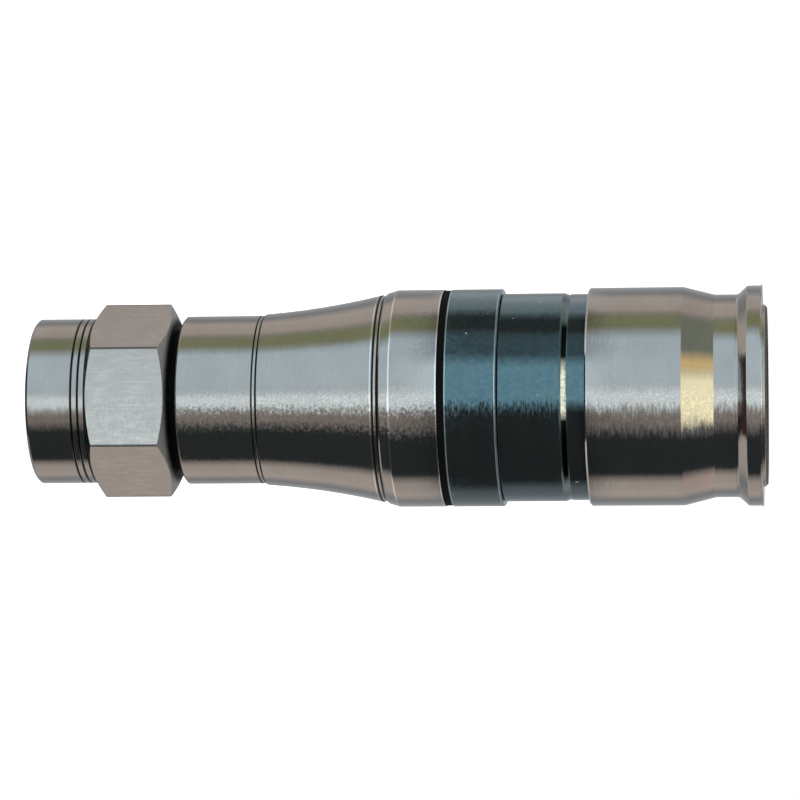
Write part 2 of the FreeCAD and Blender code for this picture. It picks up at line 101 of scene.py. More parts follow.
# %% Spread a value, mix two colours, join two values
def spread(tree, value, low, high, start=0.3, end=0.7):
    node = tree.nodes.new("ShaderNodeMapRange")
    node.inputs["From Min"].default_value = start
    node.inputs["From Max"].default_value = end
    node.inputs["To Min"].default_value = low
    node.inputs["To Max"].default_value = high
    tree.links.new(value, node.inputs["Value"])
    return node.outputs["Result"]


def mix_colours(tree, factor, first, second):
    node = tree.nodes.new("ShaderNodeMix")
    node.data_type = "RGBA"
    for socket, colour in ((node.inputs["A"], first), (node.inputs["B"], second)):
        if isinstance(colour, tuple):
            socket.default_value = (*colour, 1)
        else:
            tree.links.new(colour, socket)
    tree.links.new(factor, node.inputs["Factor"])
    return node.outputs["Result"]


def combine(tree, operation, first, second):
    node = tree.nodes.new("ShaderNodeMath")
    node.operation = operation
    for socket, value in zip(node.inputs, (first, second)):
        if isinstance(value, (int, float)):
            socket.default_value = value
        else:
            tree.links.new(value, socket)
    return node.outputs[0]


print("helpers for sums and colours ready")


# %% [markdown]
# Relief comes from bump nodes in a chain, so a finish can have coarse mottling and fine rings at
# once. The depth is in thousandths of a millimetre, which is what a lathe leaves.


# %% Add relief
def relief(tree, height, microns, below=None):
    bump = tree.nodes.new("ShaderNodeBump")
    bump.inputs["Strength"].default_value = 1.0
    bump.inputs["Distance"].default_value = microns * MM / 1000
    tree.links.new(height, bump.inputs["Height"])
    if below is not None:
        tree.links.new(below, bump.inputs["Normal"])
    return bump.outputs["Normal"]


print("one micron of relief is", MM / 1000, "m")


# %% [markdown]
# Two more helpers pick a place on a piece. One finds its sharp edges: it rounds them slightly,
# and marks where the rounded surface leans away from the true one. Those edges are painted: pale
# on nickel and black plastic, as painted highlight with some wear, and dark on the nut, as painted
# shade. The other picks a stretch of the axis, for a mark that only one turned face has.


# %% Round and rub the edges, pick a stretch of the axis
def rounded_edges(tree, width):
    rounded = tree.nodes.new("ShaderNodeBevel")
    rounded.samples = 6
    rounded.inputs["Radius"].default_value = width * MM
    surface = tree.nodes.new("ShaderNodeNewGeometry")
    lean = tree.nodes.new("ShaderNodeVectorMath")
    lean.operation = "DOT_PRODUCT"
    tree.links.new(rounded.outputs["Normal"], lean.inputs[0])
    tree.links.new(surface.outputs["Normal"], lean.inputs[1])
    return rounded.outputs["Normal"], spread(tree, lean.outputs["Value"], 1, 0, 0.90, 0.985)


def stretch_mask(tree, place, low, high, soft=0.03):
    split = tree.nodes.new("ShaderNodeSeparateXYZ")
    tree.links.new(place, split.inputs[0])
    height = split.outputs["Z"]
    above = spread(tree, height, 0, 1, low - soft, low + soft)
    below = spread(tree, height, 1, 0, high - soft, high + soft)
    return combine(tree, "MULTIPLY", above, below)


print("edges and stretches can be picked")


# %% [markdown]
# Rubbing and drawing leave streaks that lean the surface to and fro round the axis. Relief can't
# show them without blurring the strips along the axis as well, so the surface direction is
# leaned directly, along the way round. One band along the connector, in front and behind, is
# rubbed more than the rest, and on nickel the same band holds pale flecks as painted highlight.


# %% Lean the surface round the axis
def rubbed_and_glint_band(tree, place):
    split = tree.nodes.new("ShaderNodeSeparateXYZ")
    tree.links.new(place, split.inputs[0])
    inside = spread(tree, split.outputs["X"], 0.18, 1.0, -0.5, 0.3)
    outside = spread(tree, split.outputs["X"], 1.0, 0.12, 2.8, 4.2)
    return combine(tree, "MULTIPLY", inside, outside)


def streaked(tree, normal, noise, side, lean):
    amount = combine(tree, "MULTIPLY", spread(tree, noise, -lean, lean, 0.3, 0.7), side)
    round_way = tree.nodes.new("ShaderNodeVectorMath")
    round_way.operation = "CROSS_PRODUCT"
    round_way.inputs[0].default_value = (0, 0, 1)
    tree.links.new(normal, round_way.inputs[1])
    step = tree.nodes.new("ShaderNodeVectorMath")
    step.operation = "SCALE"
    tree.links.new(round_way.outputs[0], step.inputs[0])
    tree.links.new(amount, step.inputs["Scale"])
    leaned = tree.nodes.new("ShaderNodeVectorMath")
    leaned.operation = "ADD"
    tree.links.new(normal, leaned.inputs[0])
    tree.links.new(step.outputs[0], leaned.inputs[1])
    unit = tree.nodes.new("ShaderNodeVectorMath")
    unit.operation = "NORMALIZE"
    tree.links.new(leaned.outputs[0], unit.inputs[0])
    return unit.outputs[0]


print("streaks ready")


# %% [markdown]
# The turned lines are painted dark, as painted shade, since no light gets into them. The corners
# of the turned faces are painted pale, as painted highlight. Both kinds of mark are given as
# stretches of the axis, in millimetres from the nut's front, so one helper makes either of them.


# %% Mark some stretches of the axis
MARK_SOFTNESS = 0.015


def marked(tree, place, stretches):
    mark = 0.0
    for low, high in stretches:
        mark = combine(tree, "MAXIMUM", stretch_mask(tree, place, low, high, MARK_SOFTNESS), mark)
    return mark


print("helpers made, marks end within", MARK_SOFTNESS, "mm")


# %% [markdown]
# ## Turned nickel
#
# The body, the sleeve and the nut are brass with nickel plating. The plating is a warm dark grey,
# a little pink next to white. A plain colour would look like plastic, so the grey is clouded:
# soft patches and the lathe's rings both mix in a duller grey.


# %% Cloudy nickel colour
NICKEL = (0.275, 0.248, 0.229)
NICKEL_DULL = (0.240, 0.216, 0.200)
# Pale nickel: wear on the hex's short scratches, painted highlight on edges, corners and flecks.
NICKEL_WEAR_AND_GLINT = (0.62, 0.58, 0.55)
# Painted shade for the turned lines, where no light gets in.
LINE_SHADE = (0.012, 0.013, 0.012)


def cloudy_nickel(tree, place, rings):
    patches = stretched_noise(tree, place, (0.35, 0.35, 0.5), 3)
    patchy = mix_colours(tree, spread(tree, patches, 0, 1), NICKEL, NICKEL_DULL)
    return mix_colours(tree, spread(tree, rings, 0, 0.5), patchy, NICKEL_DULL)


# Pale flecks in the band are a painted highlight.
def painted_glint_flecks(tree, place, glint_fleck_share, side):
    fleck = stretched_noise(tree, place, (7, 7, 7), 2)
    return combine(tree, "MULTIPLY", spread(tree, fleck, 0, glint_fleck_share, 0.5, 0.7), side)


# Edges and the listed corners are painted pale: painted highlight, with some wear.
def worn_and_glint_corners(tree, place, lean, corners):
    edges = combine(tree, "MULTIPLY", lean, 0.7)
    if corners:
        on_corners = combine(tree, "MULTIPLY", marked(tree, place, corners), 0.65)
        edges = combine(tree, "MAXIMUM", edges, on_corners)
    return edges


print("nickel", NICKEL)

# %% [markdown]
# Now the whole finish. Nickel mirrors the studio in long strips along the axis. Rings blur the
# strips along the axis, and streaks fray their edges. One function makes all the turned pieces,
# because they differ only in how deep the rings are and where their lines and corners lie.


# %% Turned nickel
def turned_nickel(
    name, ring_microns, grain_stretch, grain_lean, walls, corners,
    roughness=0.09, glint_fleck_share=0.22, edge_colour=NICKEL_WEAR_AND_GLINT
):
    material, tree, shader, place = new_finish(name)
    grain = stretched_noise(tree, place, grain_stretch, 3)
    rings = stretched_noise(tree, place, (0.5, 0.5, 9.0), 3)
    round_normal, lean = rounded_edges(tree, 0.07)
    side = rubbed_and_glint_band(tree, place)
    glint_flecks = painted_glint_flecks(tree, place, glint_fleck_share, side)
    flecked = mix_colours(tree, glint_flecks, cloudy_nickel(tree, place, rings), NICKEL_WEAR_AND_GLINT)
    colour = mix_colours(tree, worn_and_glint_corners(tree, place, lean, corners), flecked, edge_colour)
    gloss = spread(tree, grain, roughness * 0.7, roughness * 1.5)
    if walls:
        # The walls of the turned lines are painted dark: painted shade.
        groove_shade = marked(tree, place, walls)
        colour = mix_colours(tree, groove_shade, colour, LINE_SHADE)
        gloss = combine(tree, "ADD", gloss, combine(tree, "MULTIPLY", groove_shade, 0.4))
    tree.links.new(colour, shader.inputs["Base Color"])
    tree.links.new(gloss, shader.inputs["Roughness"])
    shader.inputs["Metallic"].default_value = 1.0
    fine = relief(tree, rings, ring_microns, streaked(tree, round_normal, grain, side, grain_lean))
    tree.links.new(fine, shader.inputs["Normal"])
    return material, tree, shader, place, fine


print("turned nickel is ready to use")

# %% [markdown]
# Each piece gives its own places: the walls of its turned lines, painted dark as shade, and its
# turned corners, painted pale as highlights. The sleeve and the pieces inside were turned more
# coarsely than the body, so their rings are deeper.

# %% Finishes of the body, the sleeve and the inner pieces
BODY_LINE_WALLS = ((14.93, 15.05), (15.19, 15.33), (22.97, 23.10), (23.24, 23.38))
# The corners below are painted highlights along turned edges.
BODY_GLINT_CORNERS = ((9.92, 10.05), (22.84, 22.91), (24.06, 24.15), (27.11, 27.2))
SLEEVE_GLINT_CORNERS = ((36.71, 36.82),)
BODY_RINGS = 0.35
SLEEVE_RINGS = 0.6
body_nickel = turned_nickel(
    "body_nickel", BODY_RINGS, (4.5, 4.5, 6.0), 0.05, BODY_LINE_WALLS, BODY_GLINT_CORNERS
)[0]
sleeve_nickel = turned_nickel(
    "sleeve_nickel", SLEEVE_RINGS, (1.6, 1.6, 8.0), 0.04, (), SLEEVE_GLINT_CORNERS
)[0]
inner_nickel = turned_nickel("inner_nickel", SLEEVE_RINGS, (2.0, 2.0, 8.0), 0.03, (), (), 0.2)[0]
print("turned finishes", [finish.name for finish in (body_nickel, sleeve_nickel, inner_nickel)])

# %% [markdown]
# ## The nut
#
# The nut's barrel is turned, but its six flats were drawn along the axis. So the finish starts as
# turned nickel, and the hex gets long fine scratches along the axis, only on its own stretch.

# %% Scratches along the hex
HEX_START = 3.98
PAST_THE_NUT = 20
NUT_RINGS = 0.3
SCRATCH_DEPTH = 1.2
NUT_LINE_WALLS = ((2.97, 3.09), (3.42, 3.54), (3.86, 3.98))
# Painted shade for the nut's rounded edges and the hex's corners.
EDGE_SHADE = (0.035, 0.030, 0.036)
nut_nickel, nut_tree, nut_shader, nut_place, nut_rings = turned_nickel(
    "nut_nickel", NUT_RINGS, (2.5, 2.5, 5.0), 0.02, NUT_LINE_WALLS, (), 0.08, 0.06, EDGE_SHADE
)
hex_stretch = stretch_mask(nut_tree, nut_place, HEX_START, PAST_THE_NUT)
scratch = stretched_noise(nut_tree, nut_place, (9, 9, 0.35), 3)
scratch_height = combine(nut_tree, "MULTIPLY", scratch, hex_stretch)
scratched_relief = relief(nut_tree, scratch_height, SCRATCH_DEPTH, nut_rings)
nut_tree.links.new(scratched_relief, nut_shader.inputs["Normal"])
print("hex scratches start at", HEX_START, "mm")

# %% [markdown]
# The flats are also clouded where fingers and spanners touched them, and some short scratches
# are bright. Both are only colour: noise, kept to the hex by the same stretch.

# %% Clouds and short scratches on the flats
cloud = stretched_noise(nut_tree, nut_place, (1.3, 1.3, 0.8), 5)
dull_cloud = combine(nut_tree, "MULTIPLY", spread(nut_tree, cloud, 0, 0.9, 0.4, 0.6), hex_stretch)
short_scratch = stretched_noise(nut_tree, nut_place, (4.5, 4.5, 0.9), 4)
bright_scratch = combine(
    nut_tree, "MULTIPLY", spread(nut_tree, short_scratch, 0, 0.14, 0.5, 0.75), hex_stretch
)
nut_colour = nut_shader.inputs["Base Color"].links[0].from_socket
clouded = mix_colours(nut_tree, dull_cloud, nut_colour, NICKEL_DULL)
scratched = mix_colours(nut_tree, bright_scratch, clouded, NICKEL_WEAR_AND_GLINT)
print("clouds and scratches added to", nut_nickel.name)

# %% [markdown]
# Painted shade runs along the six corners of the hex. A corner is the farthest place from the
# axis, so the distance from the axis finds all six at once, and no corner has to be pointed out.

# %% Painted shade along the hex's corners
HEX_CORNER_RADIUS = 11.11 / math.sqrt(3)
CORNER_SHADE_FROM = HEX_CORNER_RADIUS - 0.05
CORNER_SHADE_SOFTNESS = 0.012
level_place = nut_tree.nodes.new("ShaderNodeVectorMath")
level_place.operation = "MULTIPLY"
level_place.inputs[1].default_value = (1, 1, 0)
from_axis = nut_tree.nodes.new("ShaderNodeVectorMath")
from_axis.operation = "LENGTH"
nut_tree.links.new(nut_place, level_place.inputs[0])
nut_tree.links.new(level_place.outputs[0], from_axis.inputs[0])
at_corner = spread(
    nut_tree, from_axis.outputs["Value"], 0, 0.85,
    CORNER_SHADE_FROM - CORNER_SHADE_SOFTNESS, CORNER_SHADE_FROM + CORNER_SHADE_SOFTNESS
)
on_hex_corner = combine(nut_tree, "MULTIPLY", at_corner, hex_stretch)
# The hex's corners are painted dark: painted shade.
corner_shaded = mix_colours(nut_tree, on_hex_corner, scratched, EDGE_SHADE)
print("hex corners at", round(HEX_CORNER_RADIUS, 3), "mm from the axis")

# %% [markdown]
# The chamfer behind the hex was left dull, so it catches light from all round, and it is painted
# dark as shade where it meets the gap. It is the only face there that looks back along the
# axis, so the way the surface faces finds it.

# %% Dull chamfer behind the hex
CHAMFER_START = 8.0
CHAMFER_GREY = (0.37, 0.355, 0.345)
CHAMFER_DULLNESS = 0.5
GAP_SIDE_START = 9.23
# Painted shade where the chamfer meets the gap.
GAP_SHADE = (0.02, 0.024, 0.022)
nut_surface = nut_tree.nodes.new("ShaderNodeNewGeometry")
nut_facing = nut_tree.nodes.new("ShaderNodeSeparateXYZ")
nut_tree.links.new(nut_surface.outputs["Normal"], nut_facing.inputs[0])
faces_back = spread(nut_tree, nut_facing.outputs["Z"], 0, 1, 0.5, 0.7)
chamfer_stretch = stretch_mask(nut_tree, nut_place, CHAMFER_START, PAST_THE_NUT)
chamfer = combine(nut_tree, "MULTIPLY", faces_back, chamfer_stretch)
nut_gloss = nut_shader.inputs["Roughness"].links[0].from_socket
dulled = combine(nut_tree, "MULTIPLY", chamfer, CHAMFER_DULLNESS)
nut_tree.links.new(combine(nut_tree, "ADD", nut_gloss, dulled), nut_shader.inputs["Roughness"])
shaded_gap_side = stretch_mask(nut_tree, nut_place, GAP_SIDE_START, PAST_THE_NUT, 0.09)
chamfer_colour = mix_colours(nut_tree, shaded_gap_side, CHAMFER_GREY, GAP_SHADE)
finished_colour = mix_colours(nut_tree, chamfer, corner_shaded, chamfer_colour)
nut_tree.links.new(finished_colour, nut_shader.inputs["Base Color"])
print("chamfer starts at", CHAMFER_START, "mm")

# %% [markdown]
# ## Black plastic
#
# The tube has one fine line. It is painted dark as shade in front and behind, and in the middle
# of that shade a short stretch is painted pale as a highlight, only at the front. Both are places
# across the connector, so one helper fades a mark in and out from side to side.


# %% Painted shade and painted highlight in the tube's line
TUBE_LINE = (35.19, 35.52)
# The line is painted dark as shade between these two places across the connector.
SHADE_FROM = -4.4
SHADE_TO = 5.5
# Painted highlight in the tube's line: pale and lumpy, only at the front.
LINE_GLINT = (0.60, 0.61, 0.50)
LINE_GLINT_FROM = -2.0
LINE_GLINT_TO = 1.75


def side_to_side(tree, across, fade_in, fade_out):
    after_start = spread(tree, across, 0, 1, *fade_in)
    before_end = spread(tree, across, 1, 0, *fade_out)
    return combine(tree, "MULTIPLY", after_start, before_end)


def shaded_line(tree, place):
    split = tree.nodes.new("ShaderNodeSeparateXYZ")
    tree.links.new(place, split.inputs[0])
    fade_in = (SHADE_FROM - 0.2, SHADE_FROM + 0.2)
    fade_out = (SHADE_TO - 0.3, SHADE_TO + 0.3)
    groove_shade = side_to_side(tree, split.outputs["X"], fade_in, fade_out)
    return combine(tree, "MULTIPLY", stretch_mask(tree, place, *TUBE_LINE, 0.02), groove_shade)


def glint_in_line(tree, place, line):
    split = tree.nodes.new("ShaderNodeSeparateXYZ")
    tree.links.new(place, split.inputs[0])
    fade_in = (LINE_GLINT_FROM - 0.3, LINE_GLINT_FROM + 0.9)
    fade_out = (LINE_GLINT_TO - 0.5, LINE_GLINT_TO + 0.1)
    line_glint = side_to_side(tree, split.outputs["X"], fade_in, fade_out)
    at_front = spread(tree, split.outputs["Y"], 1, 0, -1, 1)
    lumps = spread(tree, stretched_noise(tree, place, (5, 5, 5), 3), 0.55, 1.0, 0.35, 0.55)
    lumpy = combine(tree, "MULTIPLY", lumps, at_front)
    return combine(tree, "MULTIPLY", line, combine(tree, "MULTIPLY", line_glint, lumpy))


print("tube line", TUBE_LINE, "mm")

# %% [markdown]
# The ring and the tube were turned too, so they shine and have rings. The black is not quite
# even, and a few specks of dust lie on it. The ring's corners and edges are painted pale: painted
# highlight, with some polish from handling.


# %% Colour of the black plastic
BLACK = (0.0088, 0.0100, 0.0095)
BLACK_PALER = (0.0108, 0.0118, 0.0111)
DUST = (0.40, 0.45, 0.45)
# Pale edges of the black pieces: painted highlight, with some polish from handling.
POLISHED_GLINT = (0.38, 0.46, 0.48)
# Near-black painted shade in the tube's line.
LINE_SHADE_BLACK = (0.004, 0.005, 0.005)
RING_GLINT_CORNERS = ((27.71, 27.77), (30.91, 30.97))


def black_colour(tree, place, glint_edge, line, line_glint):
    patches = stretched_noise(tree, place, (0.4, 0.4, 0.8), 3)
    speck = stretched_noise(tree, place, (2.4, 2.4, 2.4), 1)
    dark = mix_colours(tree, spread(tree, patches, 0, 1), BLACK, BLACK_PALER)
    dusty = mix_colours(tree, spread(tree, speck, 0, 0.5, 0.785, 0.80), dark, DUST)
    glint_edged = mix_colours(tree, glint_edge, dusty, POLISHED_GLINT)
    lined = mix_colours(tree, line, glint_edged, LINE_SHADE_BLACK)
    return mix_colours(tree, line_glint, lined, LINE_GLINT)


# The ring's corners and rounded edges are painted pale as highlights.
def polished_glint_edges(tree, place, edge):
    corners = combine(tree, "MULTIPLY", marked(tree, place, RING_GLINT_CORNERS), 0.6)
    return combine(tree, "MAXIMUM", corners, combine(tree, "MULTIPLY", edge, 0.3))


print("black", BLACK)

# %% [markdown]
# The shine is bluish, as on dyed plastic with a thin oil film. The painted shade in the line doesn't
# shine.
# Behind the line the tube is smoother: there the rings, the streaks and the roughness are weak,
# so the mirrored cards keep straight edges.


# %% Black plastic
FILM_BLUE = (0.42, 0.78, 0.90)
FILM_PALE = (0.62, 0.95, 1.0)
NO_SHINE = (0.06, 0.06, 0.06)
PLASTIC_RINGS = 0.08
PAST_THE_TUBE = 60


def black_plastic(name, lean, roughness):
    material, tree, shader, place = new_finish(name)
    streak = stretched_noise(tree, place, (2.2, 2.2, 9.0), 3)
    fleck = stretched_noise(tree, place, (4.0, 4.0, 3.0), 3)
    rings = stretched_noise(tree, place, (0.6, 0.6, 10.0), 3)
    round_normal, edge = rounded_edges(tree, 0.06)
    glint_edge = polished_glint_edges(tree, place, edge)
    line = shaded_line(tree, place)
    line_glint = glint_in_line(tree, place, line)
    colour = black_colour(tree, place, glint_edge, line, line_glint)
    tree.links.new(colour, shader.inputs["Base Color"])
    dark_line = combine(tree, "MULTIPLY", line, combine(tree, "SUBTRACT", 1.0, line_glint))
    on_edges = combine(tree, "MULTIPLY", glint_edge, combine(tree, "SUBTRACT", 1.0, line))
    tree.links.new(combine(tree, "MAXIMUM", on_edges, dark_line), shader.inputs["Metallic"])
    tail = stretch_mask(tree, place, TUBE_LINE[1], PAST_THE_TUBE)
    not_tail = combine(tree, "SUBTRACT", 1.0, combine(tree, "MULTIPLY", tail, 0.85))
    uneven = spread(tree, fleck, roughness * 0.7, roughness * 1.5)
    gloss = combine(tree, "MULTIPLY", uneven, not_tail)
    in_line = combine(tree, "MULTIPLY", line, 0.4)
    tree.links.new(combine(tree, "MAXIMUM", gloss, in_line), shader.inputs["Roughness"])
    shader.inputs["IOR"].default_value = 1.85
    film = mix_colours(tree, spread(tree, fleck, 0, 1, 0.35, 0.65), FILM_BLUE, FILM_PALE)
    shine = mix_colours(tree, line, film, NO_SHINE)
    tree.links.new(shine, shader.inputs["Specular Tint"])
    side = combine(tree, "MULTIPLY", rubbed_and_glint_band(tree, place), not_tail)
    frayed = streaked(tree, round_normal, streak, side, lean)
    ring_height = combine(tree, "MULTIPLY", rings, not_tail)
    tree.links.new(relief(tree, ring_height, PLASTIC_RINGS, frayed), shader.inputs["Normal"])
    return material


tube_black = black_plastic("tube_black", 0.07, 0.07)
print("finish", tube_black.name, "made")

# %% [markdown]
# ## Rubber, white plastic and gold
#
# The seals are matt rubber with a fine grain. The insulators are a milky plastic, which lets a
# little light in, so a small share of it is scattered under the surface.


# %% Rubber and white plastic
def soft_rubber(name, darkest, palest, shine):
    material, tree, shader, place = new_finish(name)
    grain = stretched_noise(tree, place, (12, 12, 12), 3)
    colour = mix_colours(tree, grain, darkest, palest)
    tree.links.new(colour, shader.inputs["Base Color"])
    tree.links.new(relief(tree, grain, 4), shader.inputs["Normal"])
    shader.inputs["Roughness"].default_value = 0.6
    shader.inputs["Specular IOR Level"].default_value = shine
    return material


def milky_plastic(name):
    material, tree, shader, place = new_finish(name)
    cloud = stretched_noise(tree, place, (0.8, 0.8, 0.8), 3)
    colour = mix_colours(tree, cloud, (0.78, 0.76, 0.70), (0.86, 0.85, 0.81))
    tree.links.new(colour, shader.inputs["Base Color"])
    tree.links.new(relief(tree, cloud, 3), shader.inputs["Normal"])
    shader.inputs["Roughness"].default_value = 0.42
    shader.inputs["Subsurface Weight"].default_value = 0.1
    shader.inputs["Subsurface Scale"].default_value = 0.6 * MM
    return material


print("rubber and white plastic ready")

# %% [markdown]
# The centre contact has a thin gold plating over fine turning rings. Then every small finish is
# made once, and the two rubbers differ in colour and shine: the seals are black, and the lip in
# the mouth is brown and a little glossier.


# %% Gold, and the small finishes made
def gold_plating(name):
    material, tree, shader, place = new_finish(name)
    rings = stretched_noise(tree, place, (0.6, 0.6, 9.0), 3)
    colour = mix_colours(tree, rings, (0.72, 0.47, 0.16), (0.80, 0.56, 0.22))
    tree.links.new(colour, shader.inputs["Base Color"])
    tree.links.new(relief(tree, rings, 0.6), shader.inputs["Normal"])
    tree.links.new(spread(tree, rings, 0.15, 0.28), shader.inputs["Roughness"])
    shader.inputs["Metallic"].default_value = 1.0
    return material


SEAL_BLACKS = ((0.002, 0.002, 0.002), (0.005, 0.005, 0.005))
LIP_BROWNS = ((0.030, 0.026, 0.024), (0.055, 0.046, 0.040))
rubber = soft_rubber("seal_rubber", *SEAL_BLACKS, 0.02)
lip_rubber = soft_rubber("lip_rubber", *LIP_BROWNS, 0.4)
insulator_plastic = milky_plastic("insulator_plastic")
contact_gold = gold_plating("contact_gold")
small_finishes = (rubber, lip_rubber, insulator_plastic, contact_gold)
print("small finishes", [finish.name for finish in small_finishes])

# %% [markdown]
# Each solid now gets its finish. A solid keeps its shape, and only its material slot changes.

# %% Hand out the finishes
FINISH_OF = {
    "coupling_nut": nut_nickel,
    "post": inner_nickel,
    "contact_pin": contact_gold,
    "front_insulator": insulator_plastic,
    "pin_guide": insulator_plastic,
    "front_body": body_nickel,
    "nut_seal": rubber,
    "mandrel": inner_nickel,
    "rear_body": tube_black,
    "band_ring": tube_black,
    "body_seal": rubber,
    "sleeve_seal": rubber,
    "compression_sleeve": sleeve_nickel,
    "grip_ring": inner_nickel,
    "mouth_liner": inner_nickel,
    "jacket_seal": lip_rubber,
}
for node, finish in FINISH_OF.items():
    solids[node].data.materials.clear()
    solids[node].data.materials.append(finish)
print("finishes on", len(FINISH_OF), "solids")

# %% [markdown]
# ## The thread in the nut
#
# The coupling nut screws onto a socket with 32 threads to the inch. The solid has a plain bore
# as wide as the thread's valleys, so only the ridge is missing. A ridge is one profile carried
# round a helix: four points, moved up a little with every step, joined by faces. It fades out
# at both ends, as a cut thread does.

# %% Profile of the thread
THREAD_PITCH = 25.4 / 32 * MM
THREAD_VALLEY = 4.765 * MM
THREAD_CREST = 4.37 * MM
THREAD_START = 0.45 * MM
THREAD_END = 5.7 * MM
STEPS_PER_TURN = 72
FADE_TURNS = 0.4


def thread_profile(share):
    crest = THREAD_VALLEY + (THREAD_CREST - THREAD_VALLEY) * share
    base_half = THREAD_PITCH * 0.44
    crest_half = THREAD_PITCH * (0.06 + 0.3 * (1 - share))
    return [
        (THREAD_VALLEY, -base_half), (crest, -crest_half), (crest, crest_half), (THREAD_VALLEY, base_half)
    ]


print("thread pitch in mm", round(THREAD_PITCH / MM, 4))

# %% [markdown]
# The profile is placed once for each step round the helix, and each step is joined to the next.
# The mesh is closed at both ends, so the ridge is a sound body of its own.

# %% Carry the profile round the helix
turns = (THREAD_END - THREAD_START) / THREAD_PITCH
steps = int(turns * STEPS_PER_TURN)
ridge = bmesh.new()
rings = []
for step in range(steps + 1):
    turn = step / STEPS_PER_TURN
    share = max(0.02, min(1.0, turn / FADE_TURNS, (turns - turn) / FADE_TURNS))
    height = THREAD_START + turn * THREAD_PITCH
    angle = turn * 2 * math.pi
    ring = []
    for radius, offset in thread_profile(share):
        corner = (radius * math.cos(angle), radius * math.sin(angle), height + offset)
        ring.append(ridge.verts.new(corner))
    rings.append(ring)
for ring, following in zip(rings, rings[1:]):
    for side in range(4):
        other = (side + 1) % 4
        ridge.faces.new((ring[side], ring[other], following[other], following[side]))
ridge.faces.new(rings[0])
ridge.faces.new(list(reversed(rings[-1])))
bmesh.ops.recalc_face_normals(ridge, faces=ridge.faces[:])
print("steps round the helix", steps)

# %% [markdown]
# The ridge turns with the nut, so it rides on the nut's body, and its metal is the nut's own.

# %% Put the thread in the nut
thread_data = bpy.data.meshes.new("nut_thread")
ridge.to_mesh(thread_data)
ridge.free()
thread = bpy.data.objects.new("nut_thread", thread_data)
bpy.context.scene.collection.objects.link(thread)
thread.data.materials.append(inner_nickel)
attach(thread, "nut")
print("thread turns", round(turns, 2), "faces", len(thread_data.polygons))

# %% [markdown]
# ## The camera
#
# The picture shows the connector lying along the frame, but it stands on its nut here. So the
# camera is rolled by a right angle: up the connector is to the right in the picture. It stands
# a little above the connector's middle and a little to one side, which shows in the nut's flats.

# %% Place of the camera
CAMERA_DISTANCE = 240 * MM
CAMERA_HEIGHT = 51.1 * MM
CAMERA_TURN = math.radians(2.7)
CAMERA_ROLL = math.radians(0.47)
CAMERA_LENS = 164.34
aim = Vector((0.1 * MM, 0, 24.1 * MM))
eye = Vector(
    (
        CAMERA_DISTANCE * math.sin(CAMERA_TURN),
        -CAMERA_DISTANCE * math.cos(CAMERA_TURN),
        CAMERA_HEIGHT,
    )
)
print("camera at", [round(v / MM, 1) for v in eye])

# %% [markdown]
# The camera looks from its place to the aim. Its right is the way up the connector, with a very
# small roll, and its up follows from the other two.

# %% Set the camera
camera_data = bpy.data.cameras.new("camera")
camera_data.sensor_width = 36.0
camera_data.lens = CAMERA_LENS
camera_data.clip_start = 0.01
camera_data.clip_end = 10.0
camera = bpy.data.objects.new("camera", camera_data)
bpy.context.scene.collection.objects.link(camera)
backward = (eye - aim).normalized()
along = Vector((0, 0, 1)) - backward * backward.z
along.normalize()
across = backward.cross(along)
right = along * math.cos(CAMERA_ROLL) - across * math.sin(CAMERA_ROLL)
up = backward.cross(right)
camera.matrix_world = Matrix.Translation(eye) @ Matrix((right, up, backward)).transposed().to_4x4()
bpy.context.scene.camera = camera
print("lens", CAMERA_LENS, "mm")

# %% [markdown]
# ## What the metal mirrors
#
# Shiny turned metal shows its surroundings as strips. A photographer builds those strips with
# cards round the part, inside a white tent. The tent here is a closed drum, and its wall glows
# in a few broad cards. Angles go round the axis: zero faces the camera, plus is the upper side
# of the picture.

# %% Card colours
PAPER = (1.00, 1.05, 1.10)
WINDOW = (1.00, 1.20, 1.30)
SKY = (1.00, 1.30, 1.50)
SAGE = (1.00, 1.20, 1.00)
MOSS = (1.00, 1.15, 0.70)
SAND = (1.00, 0.95, 0.90)
CLAY = (1.00, 0.85, 0.80)
CREAM = (1.00, 1.00, 0.70)
BRASS = (1.00, 0.80, 0.40)
NIGHT = (0.85, 1.05, 1.15)
ROOM_GLOW = 0.5
print("the bare tent glows at", ROOM_GLOW)

# %% [markdown]
# A card is given by the two angles where it starts and ends, its colour and its strength. The
# metal gets a wide blue card above, a white window in the middle and a black flag below it, with
# pale fill cards at both flat angles. Opposite the black pieces the flags are wider. The taper
# of the sleeve leans back and looks up at warm cards, which is why it shines like pale gold.

# %% Place the cards
METAL_CARDS = (
    (95, 130, SAND, 1.1),
    (70, 95, MOSS, 0.6),
    (10, 70, SKY, 1.3),
    (-15, 10, WINDOW, 2.0),
    (-35, -15, SAND, 0.6),
    (-95, -35, NIGHT, 0.08),
    (-130, -95, SAND, 1.1),
)
BLACK_PIECE_CARDS = (
    (100, 145, PAPER, 1.0),
    (70, 100, NIGHT, 0.08),
    (40, 70, SKY, 0.4),
    (-10, 40, SKY, 1.8),
    (-110, -10, NIGHT, 0.03),
)
TAPER_CARDS = (
    (95, 130, SAND, 1.0),
    (45, 95, SAGE, 0.5),
    (25, 45, BRASS, 2.0),
    (-30, 25, CREAM, 3.0),
    (-95, -40, NIGHT, 0.08),
    (-130, -95, CLAY, 1.2),
)
print("cards", len(METAL_CARDS) + len(BLACK_PIECE_CARDS) + len(TAPER_CARDS))

# %% [markdown]
# The drum's wall takes its cards by height. Metal cards stand almost everywhere, the cards for
# the black pieces opposite those, and the warm cards high up, where only the taper looks. A card
# has a soft edge, and between two heights two sets of cards blend.


